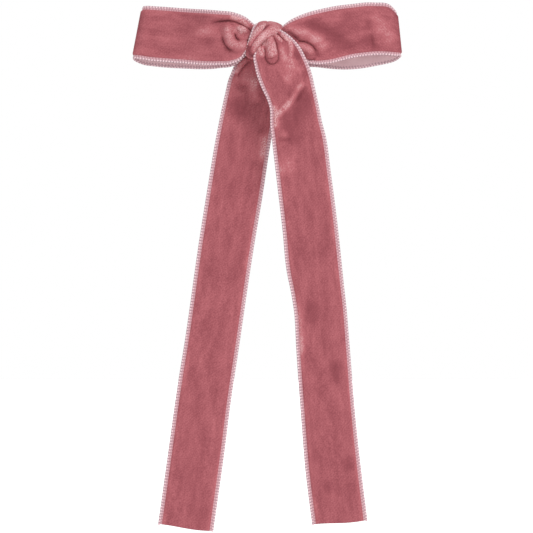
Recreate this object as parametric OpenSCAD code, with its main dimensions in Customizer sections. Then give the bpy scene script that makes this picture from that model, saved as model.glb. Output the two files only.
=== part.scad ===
// Velvet bow barrette: one length of ribbon, tied in a bow, sewn to a sprung French clip.
// +Z is up as worn, the bow faces -Y and the head is at +Y.
// The origin is the middle of the clip's jaw, where the hair lies.

/* [Ribbon] */
// Width of the velvet ribbon
ribbon_w = 25; // [20:0.5:32]
// Thickness of the ribbon with its pile
ribbon_t = 1; // [0.6:0.1:1.4]

/* [Bow] */
// Reach of each loop, from the knot's centre to the fold
loop_reach = 64; // [52:0.5:80]
// Distance between the two layers of a loop where it is fullest
loop_depth = 10; // [7:0.5:14]
// Radius of the fold at a loop's tip
fold_r = 2.2; // [1.5:0.1:3]
// Height of the gathered waist inside the knot
waist_h = 12; // [9:0.5:14]
// Width of the knot along the bow
knot_w = 14; // [10:0.5:18]
// Thickness of the ribbon bunched in the knot's wrap
wrap_t = 1.6; // [1.2:0.1:2.4]
// Height of the left loop's front layer above the clip's centre line
left_lift = 1.9; // [0:0.1:6]
// Height of the right loop's front layer above the clip's centre line
right_lift = 4.6; // [0:0.1:6]
// Drop of the back layers below the clip's centre line
back_drop = 2.2; // [0:0.1:5]

/* [Tails] */
// Length of the left tail below its bending line
left_tail_len = 220; // [120:1:280]
// Length of the right tail below its bending line
right_tail_len = 217; // [120:1:280]
// Lean of the left tail from the vertical
left_lean = 8.6; // [0:0.2:14]
// Lean of the right tail from the vertical
right_lean = 6.3; // [0:0.2:14]
// Lean of the right tail's top stretch, where it fans out of the knot
fan_lean = 17; // [8:0.5:24]

/* [Clip] */
// Overall length of the base plate
clip_len = 83; // [76:1:104]
// Width of the base plate
plate_w = 9; // [8:0.5:12]
// Thickness of the base plate
plate_t = 0.7; // [0.5:0.1:1]
// Radius of the base plate's curve, which follows the head
plate_r = 200; // [150:10:400]
// Opening of the jaw at its middle, between tension bar and arm
jaw = 5.2; // [4.6:0.1:8]
// Height of the tension bar's bow over its own ends
bar_bow = 0.9; // [0.4:0.1:2]
// Width of the tension bar
bar_w = 6; // [4:0.5:7]
// Thickness of the tension bar
bar_t = 0.4; // [0.3:0.05:0.6]
// Width of the clasp arm
arm_w = 7; // [5:0.5:8]
// Thickness of the clasp arm
arm_t = 0.6; // [0.5:0.05:0.9]
// Radius of the clasp arm's curve
arm_r = 500; // [300:10:900]
// Diameter of the hinge pin
pin_d = 1.6; // [1.2:0.1:2]
// Thickness of the sprung catch
catch_t = 0.5; // [0.4:0.05:0.7]
// Width of each catch prong along the clip
prong_w = 4; // [3:0.5:5]

/* [Fits] */
// Radial clearance of the arm's eye on the pin
pin_gap = 0.05; // [0.02:0.01:0.08]
// Clearance between parts that pass each other
pass_gap = 0.1; // [0.1:0.05:0.3]
// Clearance between layers of ribbon
layer_gap = 0.5; // [0.3:0.1:1]

/* [Hidden] */
$fn = 64;
arc_fn = 1440;
// Stock that a leaf has past the outline that trims it
trim = 1;

VELVET = "#a9606a";
STEEL = "silver";
THREAD = "#8c4a55";

// Steel: places along and across the clip
end_run = 6.5;
hole_inset = 2.3;
pad_inset = 11;
pad_len = 4.5;
prong_rise = 1.9;
prong_reach = 3;
plate_half = clip_len / 2;
hinge_x = end_run - plate_half;
catch_x = plate_half - end_run;
hole_x = plate_half - hole_inset;
hole_r = 0.8;
arm_y = jaw / 2 + arm_t / 2;
bar_y = -jaw / 2 - bar_t / 2;
pad_outer_x = plate_half - pad_inset;
pad_inner_x = pad_outer_x - pad_len;
pad_mid_x = (pad_inner_x + pad_outer_x) / 2;
pad_mid_r = plate_r - plate_t / 2 - bar_t / 2;
pad_sag = pad_mid_r - sqrt(pow(pad_mid_r, 2) - pow(pad_inner_x, 2));
plate_y = bar_y - bar_bow - pad_sag - bar_t / 2 - plate_t / 2;
plate_centre_y = plate_y + plate_r;
bar_r = (pow(pad_inner_x, 2) + pow(bar_bow, 2)) / (2 * bar_bow);

pin_r = pin_d / 2;
eye_wall = 0.6;
eye_proud = 0.1;
eye_r = pin_r + pin_gap + eye_wall;
pin_y = arm_mid(hinge_x) + arm_t / 2 - eye_r + eye_proud;
ear_r = 2;
ear_t = 0.7;
ear_gap = plate_w - 2 * ear_t;
pin_head_r = 1.3;
pin_head_t = 0.5;

rivet_r = 0.7;
rivet_head_r = 1.2;
rivet_head_t = 0.4;

foot_len = 7;
foot_r = plate_r - plate_t / 2;
prong_outer = plate_w / 2 - 0.65;
prong_root_y = plate_mid(catch_x) + prong_rise;
prong_tip_y = arm_mid(catch_x) + prong_reach;
barb = 0.1;
window_half_z = prong_outer + barb + pass_gap;
window_half_x = prong_w / 2 + 1;
rail = 1.6;
frame_half_z = window_half_z + rail;
frame_half_x = window_half_x + rail;
tab_r = 3;

// Ribbon: layers from the clip's front outwards
plate_front = plate_y - plate_t / 2;
wrap_back = plate_front - pass_gap * 3;
waist_back = wrap_back - wrap_t - 2 * pass_gap;
loop_back_y = waist_back - ribbon_t / 2;
waist_front = loop_back_y - loop_depth - ribbon_t / 2;
wrap_front = waist_front - wrap_t - 2 * pass_gap;
half_wrap = waist_h / 2 + wrap_t + pass_gap;
waist_half_x = knot_w / 2;
hug_start = 12;
hug_end = 38;
gather_end = 18;
tip_slope = 0.05;
loop_start = waist_half_x + 2 * pass_gap;
rings = 22;

// Ribbon: the tails' bending lines
bend_gap = 0.9;
left_root_len = 6.3;
right_root_len = 8.3;
left_bend_z = -(half_wrap + left_root_len);
right_bend_z = -(half_wrap + right_root_len);
left_bend_x = -5.9;
left_tail_y = back_y(ribbon_w / 2 - left_bend_x) + ribbon_t + layer_gap;
right_bend_x = 7.6;
right_bend_y = waist_front - ribbon_t;
fan_len = 21;
fan_front_y = wrap_front - ribbon_t / 2 - layer_gap;
fan_top_z = 1;
fan_top_x = 2.5;
fan_top_half_w = 6;

function plate_mid(x) = plate_centre_y - sqrt(plate_r * plate_r - x * x);
function arm_mid(x) = arm_y + arm_r - sqrt(arm_r * arm_r - x * x);
function smooth(a, b, x) =
    let (t = min(1, max(0, (x - a) / (b - a)))) t * t * (3 - 2 * t);
function mix(a, b, t) = a + (b - a) * t;
function unit(v) = v / norm(v);

// ---------- shared shapes ----------

// Arc of sheet metal seen from above: middle at y, radius r, thickness t, from x1 to x2
module leaf_outline(y, r, t, x1, x2) {
    translate([0, y + r]) intersection() {
        difference() {
            circle(r = r + t / 2, $fn = arc_fn);
            circle(r = r - t / 2, $fn = arc_fn);
        }
        translate([x1, -r - t]) square([x2 - x1, r / 2]);
    }
}

module leaf(y, r, t, x1, x2, w) {
    translate([0, 0, -w / 2]) linear_extrude(height = w) leaf_outline(y, r, t, x1, x2);
}

// Prism along Y with a rounded outline, used to trim a leaf
module rounded_prism(x1, x2, half_z, corner) {
    depth = 60;
    translate([0, depth / 2, 0]) rotate([90, 0, 0]) linear_extrude(height = depth) {
        translate([x1 + corner, -half_z]) square([x2 - x1 - 2 * corner, 2 * half_z]);
        translate([x1, corner - half_z]) square([x2 - x1, 2 * (half_z - corner)]);
        for (x = [x1 + corner, x2 - corner], z = [corner - half_z, half_z - corner])
            translate([x, z]) circle(r = corner);
    }
}

// Places its children on the base plate at x, with local +Y square to the plate
module on_plate(x) {
    translate([0, plate_centre_y, 0]) rotate([0, 0, asin(x / plate_r)])
        translate([0, -plate_r, 0]) children();
}

module across_plate(r, y1, y2) {
    translate([0, y2, 0]) rotate([90, 0, 0]) cylinder(r = r, h = y2 - y1);
}

module rivet(x, top) {
    on_plate(x) {
        across_plate(rivet_r, -plate_t / 2, top);
        across_plate(rivet_head_r, top, top + rivet_head_t);
    }
}

// Rectangular ring of thread around a box, drawn in the plane across the given axis
module thread_ring(low, high, thread, width) {
    translate([0, 0, -width / 2]) linear_extrude(height = width) difference() {
        translate([low[0] - thread, low[1] - thread])
            square([high[0] - low[0] + 2 * thread, high[1] - low[1] + 2 * thread]);
        translate(low) square([high[0] - low[0], high[1] - low[1]]);
    }
}

// Solid strip of ribbon through a list of [centre, half width vector, half thickness vector]
module ribbon_strip(sections) {
    n = len(sections);
    points = [for (s = sections, c = [[-1, -1], [1, -1], [1, 1], [-1, 1]])
        s[0] + c[0] * s[1] + c[1] * s[2]];
    sides = [for (i = [0:n - 2], k = [0:3])
        let (a = 4 * i + k, b = 4 * i + (k + 1) % 4)
        each [[a, a + 4, b + 4], [a, b + 4, b]]];
    last = 4 * (n - 1);
    ends = [[0, 1, 2], [0, 2, 3], [last, last + 2, last + 1], [last, last + 3, last + 2]];
    polyhedron(points = points, faces = concat(sides, ends));
}

// ---------- steel ----------

module base_plate() {
    color(STEEL) difference() {
        union() {
            intersection() {
                leaf(plate_y, plate_r, plate_t, -plate_half - trim, plate_half + trim, plate_w);
                rounded_prism(-plate_half, plate_half, plate_w / 2, plate_w / 2 - 0.5);
            }
            for (z = [-plate_w / 2, plate_w / 2 - ear_t])
                translate([0, 0, z]) ear();
        }
        translate([hinge_x, pin_y, -plate_w]) cylinder(r = pin_r, h = 2 * plate_w);
        for (x = [-hole_x, hole_x])
            on_plate(x) across_plate(hole_r, -plate_t, plate_t);
        for (x = [-pad_mid_x, catch_x])
            on_plate(x) across_plate(rivet_r, -plate_t, plate_t);
    }
}

module ear() {
    linear_extrude(height = ear_t) {
        translate([hinge_x, pin_y]) circle(r = ear_r);
        intersection() {
            translate([hinge_x - ear_r, plate_y]) square([2 * ear_r, pin_y - plate_y]);
            translate([0, plate_centre_y]) circle(r = plate_r, $fn = arc_fn);
        }
    }
}

module hinge_pin() {
    shank = plate_w;
    color(STEEL) translate([hinge_x, pin_y, 0]) {
        translate([0, 0, -shank / 2]) cylinder(r = pin_r, h = shank);
        for (z = [-shank / 2 - pin_head_t, shank / 2])
            translate([0, 0, z]) cylinder(r = pin_head_r, h = pin_head_t);
    }
}

module clasp_arm() {
    bead_t = 0.4;
    bead_w = 2.4;
    eye_len = ear_gap - 2 * pass_gap;
    frame_x1 = catch_x - frame_half_x;
    frame_x2 = catch_x + frame_half_x;
    color(STEEL) difference() {
        union() {
            intersection() {
                leaf(arm_y, arm_r, arm_t, hinge_x, frame_x2 + tab_r + trim, 2 * frame_half_z);
                union() {
                    rounded_prism(hinge_x, frame_x1 + 2, arm_w / 2, 0.4);
                    rounded_prism(frame_x1, frame_x2, frame_half_z, 1.5);
                    rounded_prism(frame_x2 - tab_r, frame_x2 + tab_r, tab_r, tab_r - 0.1);
                }
            }
            leaf(arm_y + arm_t / 2, arm_r - arm_t / 2 - bead_t / 2, bead_t,
                hinge_x + 7, frame_x1 - 2, bead_w);
            translate([hinge_x, pin_y, -eye_len / 2]) cylinder(r = eye_r, h = eye_len);
        }
        translate([hinge_x, pin_y, -plate_w]) cylinder(r = pin_r + pin_gap, h = 2 * plate_w);
        rounded_prism(catch_x - window_half_x, catch_x + window_half_x, window_half_z, 0.6);
    }
}

module tension_bar() {
    color(STEEL) difference() {
        union() {
            mirror([0, 1, 0]) leaf(-bar_y, bar_r, bar_t, -pad_inner_x, pad_inner_x, bar_w);
            for (side = [-1, 1]) intersection() {
                leaf(plate_centre_y - pad_mid_r, pad_mid_r, bar_t,
                    side < 0 ? -pad_outer_x - trim : pad_inner_x,
                    side < 0 ? -pad_inner_x : pad_outer_x + trim, bar_w);
                rounded_prism(-pad_outer_x, pad_outer_x, bar_w / 2, 1.5);
            }
        }
        on_plate(-pad_mid_x) across_plate(rivet_r, 0, 2);
    }
}

module bar_rivet() {
    color(STEEL) rivet(-pad_mid_x, plate_t / 2 + bar_t);
}

// U-shaped foot of the sprung catch; the prongs stand on its two walls
module catch_bracket() {
    color(STEEL) difference() {
        union() {
            intersection() {
                leaf(plate_centre_y - foot_r + catch_t / 2, foot_r - catch_t / 2, catch_t,
                    catch_x - foot_len / 2 - trim, catch_x + foot_len / 2 + trim,
                    2 * prong_outer);
                rounded_prism(catch_x - foot_len / 2, catch_x + foot_len / 2, prong_outer, 0.8);
            }
            for (z = [-prong_outer, prong_outer - catch_t])
                translate([0, 0, z]) linear_extrude(height = catch_t) intersection() {
                    translate([catch_x - prong_w / 2, plate_y])
                        square([prong_w, prong_root_y - plate_y]);
                    translate([0, plate_centre_y]) circle(r = foot_r - catch_t / 2, $fn = arc_fn);
                }
        }
        on_plate(catch_x) across_plate(rivet_r, 0, 2);
    }
}

module catch_rivet() {
    color(STEEL) rivet(catch_x, plate_t / 2 + catch_t);
}

// One prong: a straight spring leg with a barb just above the closed arm
module prong() {
    barb_y = arm_mid(catch_x) + arm_t / 2 + pass_gap;
    leg_y = prong_root_y + pass_gap;
    color(STEEL) {
        translate([catch_x - prong_w / 2, leg_y, prong_outer - catch_t])
            cube([prong_w, prong_tip_y - prong_w / 2 - leg_y, catch_t]);
        translate([catch_x, prong_tip_y - prong_w / 2, prong_outer - catch_t])
            cylinder(r = prong_w / 2, h = catch_t);
        translate([catch_x - prong_w / 2, barb_y, prong_outer - catch_t / 2])
            cube([prong_w, 0.8, catch_t / 2 + barb]);
    }
}

module upper_prong() { prong(); }

module lower_prong() { mirror([0, 0, 1]) prong(); }

// ---------- thread ----------

// Turns of thread that bind the knot's back to the middle of the plate
module centre_stitches() {
    thread = 0.35;
    pitch = 1.6;
    low = [waist_back - plate_y, -plate_w / 2];
    high = [plate_t / 2, plate_w / 2];
    color(THREAD) for (i = [-2:2])
        on_plate(i * pitch) rotate([90, 0, 90]) thread_ring(low, high, thread, thread);
}

// Strands through an end hole, round the plate's end and through the loop's back layer
module end_stitches(side) {
    thread = 0.35;
    low = [hole_x, -plate_t / 2 - layer_gap - ribbon_t];
    high = [plate_half + 0.3, plate_t / 2];
    color(THREAD) mirror([side < 0 ? 1 : 0, 0, 0]) on_plate(hole_x)
        translate([-hole_x, 0, 0]) for (z = [-0.3, 0.3])
            translate([thread / 2, 0, z]) thread_ring(low, high, thread, thread);
}

module left_stitches() { end_stitches(-1); }

module right_stitches() { end_stitches(1); }

// ---------- ribbon ----------

module gathered_waist() {
    depth = waist_back - waist_front;
    corner = 2.5;
    color(VELVET) translate([-waist_half_x, 0, 0]) rotate([90, 0, 90])
        linear_extrude(height = knot_w)
            bunch_outline(waist_front, waist_back, waist_h / 2, corner);
}

module bunch_outline(y1, y2, half_z, corner) {
    translate([y1 + corner, -half_z]) square([y2 - y1 - 2 * corner, 2 * half_z]);
    translate([y1, corner - half_z]) square([y2 - y1, 2 * (half_z - corner)]);
    for (y = [y1 + corner, y2 - corner], z = [corner - half_z, half_z - corner])
        translate([y, z]) circle(r = corner);
}

// The wrap is a band of bunched ribbon all the way round the waist
module knot_wrap() {
    inner = 2.6;
    color(VELVET) translate([-waist_half_x, 0, 0]) rotate([90, 0, 90])
        linear_extrude(height = knot_w) difference() {
            bunch_outline(wrap_front, wrap_back, half_wrap, inner + wrap_t);
            bunch_outline(waist_front - pass_gap, waist_back + pass_gap,
                waist_h / 2 + pass_gap / 2, inner);
        }
}

// Plan of a loop: the back layer lies on the plate, the front one bulges, the fold joins them
function back_y(x) =
    let (edge = min(x, plate_half),
        on_clip = plate_front + plate_mid(edge) - plate_y + (x - edge) * tip_slope,
        lying = on_clip - layer_gap / 2 - ribbon_t / 2)
    mix(loop_back_y, lying, smooth(hug_start, hug_end, x));
function half_depth(x) =
    mix(loop_depth / 2, fold_r, smooth(loop_start, loop_reach - ribbon_t / 2 - fold_r, x));
function layer_y(x, front) = back_y(x) - (front ? 2 * half_depth(x) : 0);
function half_height(x) =
    mix(waist_h / 2 - pass_gap, ribbon_w / 2, smooth(loop_start, gather_end, x));

function loop_section(x, y, normal, z, half) =
    [[x, y, z], [0, 0, half], ribbon_t / 2 * [normal[0], normal[1], 0]];

// Sections of one loop for the right side, from the waist's front round to its back
function loop_sections(lift) =
    let (tip = loop_reach - ribbon_t / 2 - fold_r,
        dx = 0.5,
        tip_y = back_y(tip) - half_depth(tip),
        fold = half_depth(tip),
        turn = 9)
    concat(
        [for (i = [0:rings]) let (x = mix(loop_start, tip, i / rings),
            slope = (layer_y(x + dx, true) - layer_y(x - dx, true)) / (2 * dx))
            loop_section(x, layer_y(x, true), unit([-slope, 1]),
                lift * smooth(loop_start, gather_end, x), half_height(x))],
        [for (i = [1:turn - 1]) let (a = 180 * i / turn)
            loop_section(tip + fold * sin(a), tip_y - fold * cos(a), [-sin(a), cos(a)],
                mix(lift, -back_drop, i / turn), ribbon_w / 2)],
        [for (i = [rings:-1:0]) let (x = mix(loop_start, tip, i / rings),
            slope = (layer_y(x + dx, false) - layer_y(x - dx, false)) / (2 * dx))
            loop_section(x, layer_y(x, false), unit([slope, -1]),
                -back_drop * smooth(loop_start, gather_end, x), half_height(x))]
    );

module left_loop() {
    color(VELVET) mirror([1, 0, 0]) ribbon_strip(loop_sections(left_lift));
}

module right_loop() {
    color(VELVET) ribbon_strip(loop_sections(right_lift));
}

// Section of a tail at [x, y, z], with its width square to a lean from the vertical
function tail_section(x, y, z, lean, half) =
    [[x, y, z], half * [cos(lean), 0, sin(lean)], [0, ribbon_t / 2, 0]];

module left_tail_root() {
    top_z = -(half_wrap + pass_gap);
    foot_z = left_bend_z + bend_gap;
    top_x = left_bend_x + (top_z - left_bend_z) * tan(left_lean);
    color(VELVET) ribbon_strip([
        tail_section(top_x, left_tail_y, top_z, 0, ribbon_w / 2 - 3),
        tail_section(left_bend_x, left_tail_y, foot_z, 0, ribbon_w / 2)
    ]);
}

module left_tail() {
    foot = [left_bend_x - left_tail_len * sin(left_lean),
        left_bend_z - left_tail_len * cos(left_lean)];
    color(VELVET) ribbon_strip([
        tail_section(left_bend_x, left_tail_y, left_bend_z, 0, ribbon_w / 2),
        tail_section(foot[0], left_tail_y, foot[1], -left_lean, ribbon_w / 2)
    ]);
}

module right_tail_root() {
    color(VELVET) ribbon_strip([
        tail_section(fan_top_x, fan_front_y, fan_top_z, 0, fan_top_half_w),
        tail_section(mix(fan_top_x, right_bend_x, 0.7), fan_front_y, -half_wrap - ribbon_t, 0,
            ribbon_w / 2),
        tail_section(right_bend_x, right_bend_y, right_bend_z + bend_gap, 0, ribbon_w / 2)
    ]);
}

module right_tail() {
    knee = [right_bend_x + fan_len * sin(fan_lean), right_bend_z - fan_len * cos(fan_lean)];
    hang = right_tail_len - fan_len;
    foot = [knee[0] + hang * sin(right_lean), knee[1] - hang * cos(right_lean)];
    color(VELVET) ribbon_strip([
        tail_section(right_bend_x, right_bend_y, right_bend_z, 0, ribbon_w / 2),
        tail_section(knee[0], right_bend_y, knee[1], (fan_lean + right_lean) / 2, ribbon_w / 2),
        tail_section(foot[0], right_bend_y, foot[1], right_lean, ribbon_w / 2)
    ]);
}

base_plate();
hinge_pin();
clasp_arm();
tension_bar();
bar_rivet();
catch_bracket();
catch_rivet();
upper_prong();
lower_prong();
centre_stitches();
left_stitches();
right_stitches();
gathered_waist();
knot_wrap();
left_loop();
right_loop();
left_tail_root();
right_tail_root();
left_tail();
right_tail();
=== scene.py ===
"""Velvet bow barrette: the looks of a ribbon bow sewn to a sprung steel clip.

The bow is one length of velvet ribbon, built here as five stretches: two loops, the knot's
wrap and two tails. Sizes are in millimetres and turn to metres where a mesh is made. The clip
keeps its own solids and gets its finish here.
"""

import logging
import math
from dataclasses import dataclass, field
from enum import Enum
from typing import Any, Optional, Sequence

import bpy
import numpy as np
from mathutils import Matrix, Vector


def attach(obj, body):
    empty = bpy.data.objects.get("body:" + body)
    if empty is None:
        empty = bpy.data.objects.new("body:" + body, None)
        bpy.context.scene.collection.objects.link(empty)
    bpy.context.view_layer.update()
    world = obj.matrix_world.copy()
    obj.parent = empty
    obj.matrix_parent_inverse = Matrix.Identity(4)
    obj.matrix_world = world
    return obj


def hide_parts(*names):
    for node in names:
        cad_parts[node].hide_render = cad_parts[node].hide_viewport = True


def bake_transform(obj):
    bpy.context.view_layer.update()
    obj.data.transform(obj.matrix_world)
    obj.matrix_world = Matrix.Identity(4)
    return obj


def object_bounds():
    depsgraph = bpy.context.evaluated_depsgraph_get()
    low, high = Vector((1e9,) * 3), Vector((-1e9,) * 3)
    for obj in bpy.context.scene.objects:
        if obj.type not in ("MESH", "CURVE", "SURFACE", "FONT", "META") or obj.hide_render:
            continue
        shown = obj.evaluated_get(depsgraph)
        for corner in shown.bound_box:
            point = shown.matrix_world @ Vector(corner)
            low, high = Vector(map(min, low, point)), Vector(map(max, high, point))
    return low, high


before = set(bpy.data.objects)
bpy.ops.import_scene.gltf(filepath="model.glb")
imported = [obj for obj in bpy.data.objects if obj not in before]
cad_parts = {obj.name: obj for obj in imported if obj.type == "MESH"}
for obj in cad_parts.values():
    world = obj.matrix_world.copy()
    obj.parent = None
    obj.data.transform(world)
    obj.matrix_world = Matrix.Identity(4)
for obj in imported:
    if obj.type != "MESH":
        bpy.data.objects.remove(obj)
CAD_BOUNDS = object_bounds()

LOG = logging.getLogger("barrette")
MM = 0.001
Point = tuple[float, float, float]
Spot = tuple[float, float]


# ---------- numbers and curves ----------


def smooth(low: float, high: float, x: np.ndarray) -> np.ndarray:
    """Rise smoothly from 0 at low to 1 at high.

    Args:
        low: value where the rise starts.
        high: value where it ends.
        x: values to map.

    Returns:
        The share risen at each value.
    """
    t = np.clip((x - low) / (high - low), 0.0, 1.0)
    return t * t * (3.0 - 2.0 * t)


def through(stations: np.ndarray, knots: np.ndarray, at: np.ndarray) -> np.ndarray:
    """Run a smooth curve through stations.

    Args:
        stations: one row of values for each station.
        knots: rising place of each station along the curve.
        at: places to read.

    Returns:
        One row of values for each place.
    """
    slopes = np.gradient(stations, knots, axis=0)
    i = np.clip(np.searchsorted(knots, at, side="right") - 1, 0, len(knots) - 2)
    gap = (knots[i + 1] - knots[i])[:, None]
    t = (at - knots[i])[:, None] / gap
    start, end = stations[i], stations[i + 1]
    leave, arrive = slopes[i] * gap, slopes[i + 1] * gap
    return (
        (2 * t**3 - 3 * t**2 + 1) * start
        + (t**3 - 2 * t**2 + t) * leave
        + (3 * t**2 - 2 * t**3) * end
        + (t**3 - t**2) * arrive
    )


def chord_knots(points: np.ndarray) -> np.ndarray:
    """Give each point its distance along the straight runs from the first one."""
    steps = np.linalg.norm(np.diff(points, axis=0), axis=1)
    return np.concatenate([[0.0], np.cumsum(np.maximum(steps, 1e-6))])


def unit(vectors: np.ndarray) -> np.ndarray:
    """Scale each vector of the last axis to length 1."""
    return vectors / np.maximum(np.linalg.norm(vectors, axis=-1, keepdims=True), 1e-12)


# ---------- folds in the cloth ----------


@dataclass(frozen=True)
class Fold:
    """A ridge, crease or brushed streak along a path on the bow's front, with painted light or
    shade.

    Attributes:
        path: places (x, z) that its crest passes, in millimetres.
        height: how far the cloth stands forward at the crest; below 0 it is a valley.
        width: distance from the crest at which it has mostly faded.
        steep: share of the width on the left of the path, where a lip drops off sharply.
        painted_light: painted highlight along it; below 0 it is painted shade.
        fade: distance over which it fades at each end.
    """

    path: tuple[Spot, ...]
    height: float
    width: float
    steep: float = 1.0
    painted_light: float = 0.0
    fade: float = 2.0
    samples: int = 70

    def share(self, x: np.ndarray, z: np.ndarray) -> np.ndarray:
        """Say how strongly the fold acts at each place.

        Args:
            x: places across the bow.
            z: places up the bow.

        Returns:
            1 on the crest, falling to 0 away from it.
        """
        spots = np.array(self.path, float)
        knots = chord_knots(spots)
        along = np.linspace(0.0, knots[-1], self.samples)
        line = through(spots, knots, along) if len(spots) > 2 else self._straight(spots)
        tangent = unit(np.gradient(line, axis=0))
        dx = x.ravel()[:, None] - line[None, :, 0]
        dz = z.ravel()[:, None] - line[None, :, 1]
        distance = dx * dx + dz * dz
        nearest = distance.argmin(axis=1)
        rows = np.arange(len(nearest))
        away = np.sqrt(distance[rows, nearest])
        side = tangent[nearest, 0] * dz[rows, nearest] - tangent[nearest, 1] * dx[rows, nearest]
        reach = np.where(side > 0, self.width * self.steep, self.width)
        ends = smooth(0.0, self.fade, along[nearest]) * smooth(
            0.0, self.fade, along[-1] - along[nearest]
        )
        return (np.exp(-((away / reach) ** 2)) * ends).reshape(x.shape)

    def _straight(self, spots: np.ndarray) -> np.ndarray:
        """Sample a path of two spots."""
        return spots[0] + np.linspace(0.0, 1.0, self.samples)[:, None] * (spots[1] - spots[0])


# ---------- finishes ----------


def linear(hex_colour: str) -> tuple[float, float, float, float]:
    """Turn an sRGB hex colour into linear RGBA."""
    channels = [int(hex_colour[i : i + 2], 16) / 255.0 for i in (1, 3, 5)]
    rgb = [c / 12.92 if c <= 0.04045 else ((c + 0.055) / 1.055) ** 2.4 for c in channels]
    return (rgb[0], rgb[1], rgb[2], 1.0)


def add(
    tree: bpy.types.NodeTree,
    kind: str,
    inputs: Optional[dict[Any, Any]] = None,
    stops: Sequence[tuple[float, str]] = (),
    **settings: Any,
) -> bpy.types.Node:
    """Add a node with its settings and links.

    Args:
        tree: the tree that it goes in.
        kind: Blender's name for the node's type.
        inputs: socket name or number, to the output socket or value that feeds it.
        stops: place and sRGB hex colour of each stop, where the node is a colour ramp.
        settings: attributes of the node.

    Returns:
        The new node.
    """
    node = tree.nodes.new(kind)
    for name, value in settings.items():
        setattr(node, name, value)
    for key, value in (inputs or {}).items():
        socket = node.inputs[key]
        if isinstance(value, bpy.types.NodeSocket):
            tree.links.new(value, socket)
        else:
            socket.default_value = value
    if stops:
        elements = node.color_ramp.elements
        while len(elements) < len(stops):
            elements.new(0.5)
        for element, (place, colour) in zip(elements, stops):
            element.position = place
            element.color = linear(colour)
    return node


def fresh_material(name: str) -> tuple[bpy.types.Material, bpy.types.NodeTree]:
    """Make a material with an empty tree.

    Args:
        name: the material's name.

    Returns:
        The material and its tree.
    """
    material = bpy.data.materials.new(name)
    material.use_nodes = True
    material.node_tree.nodes.clear()
    return material, material.node_tree


def shade(material: bpy.types.Material, inputs: dict[str, Any]) -> bpy.types.Material:
    """Close a material with its shader and output.

    Args:
        material: the material.
        inputs: the output socket or value that feeds each of the shader's sockets.

    Returns:
        The same material.
    """
    shader = add(material.node_tree, "ShaderNodeBsdfPrincipled", inputs)
    add(material.node_tree, "ShaderNodeOutputMaterial", {"Surface": shader.outputs[0]})
    return material


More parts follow.
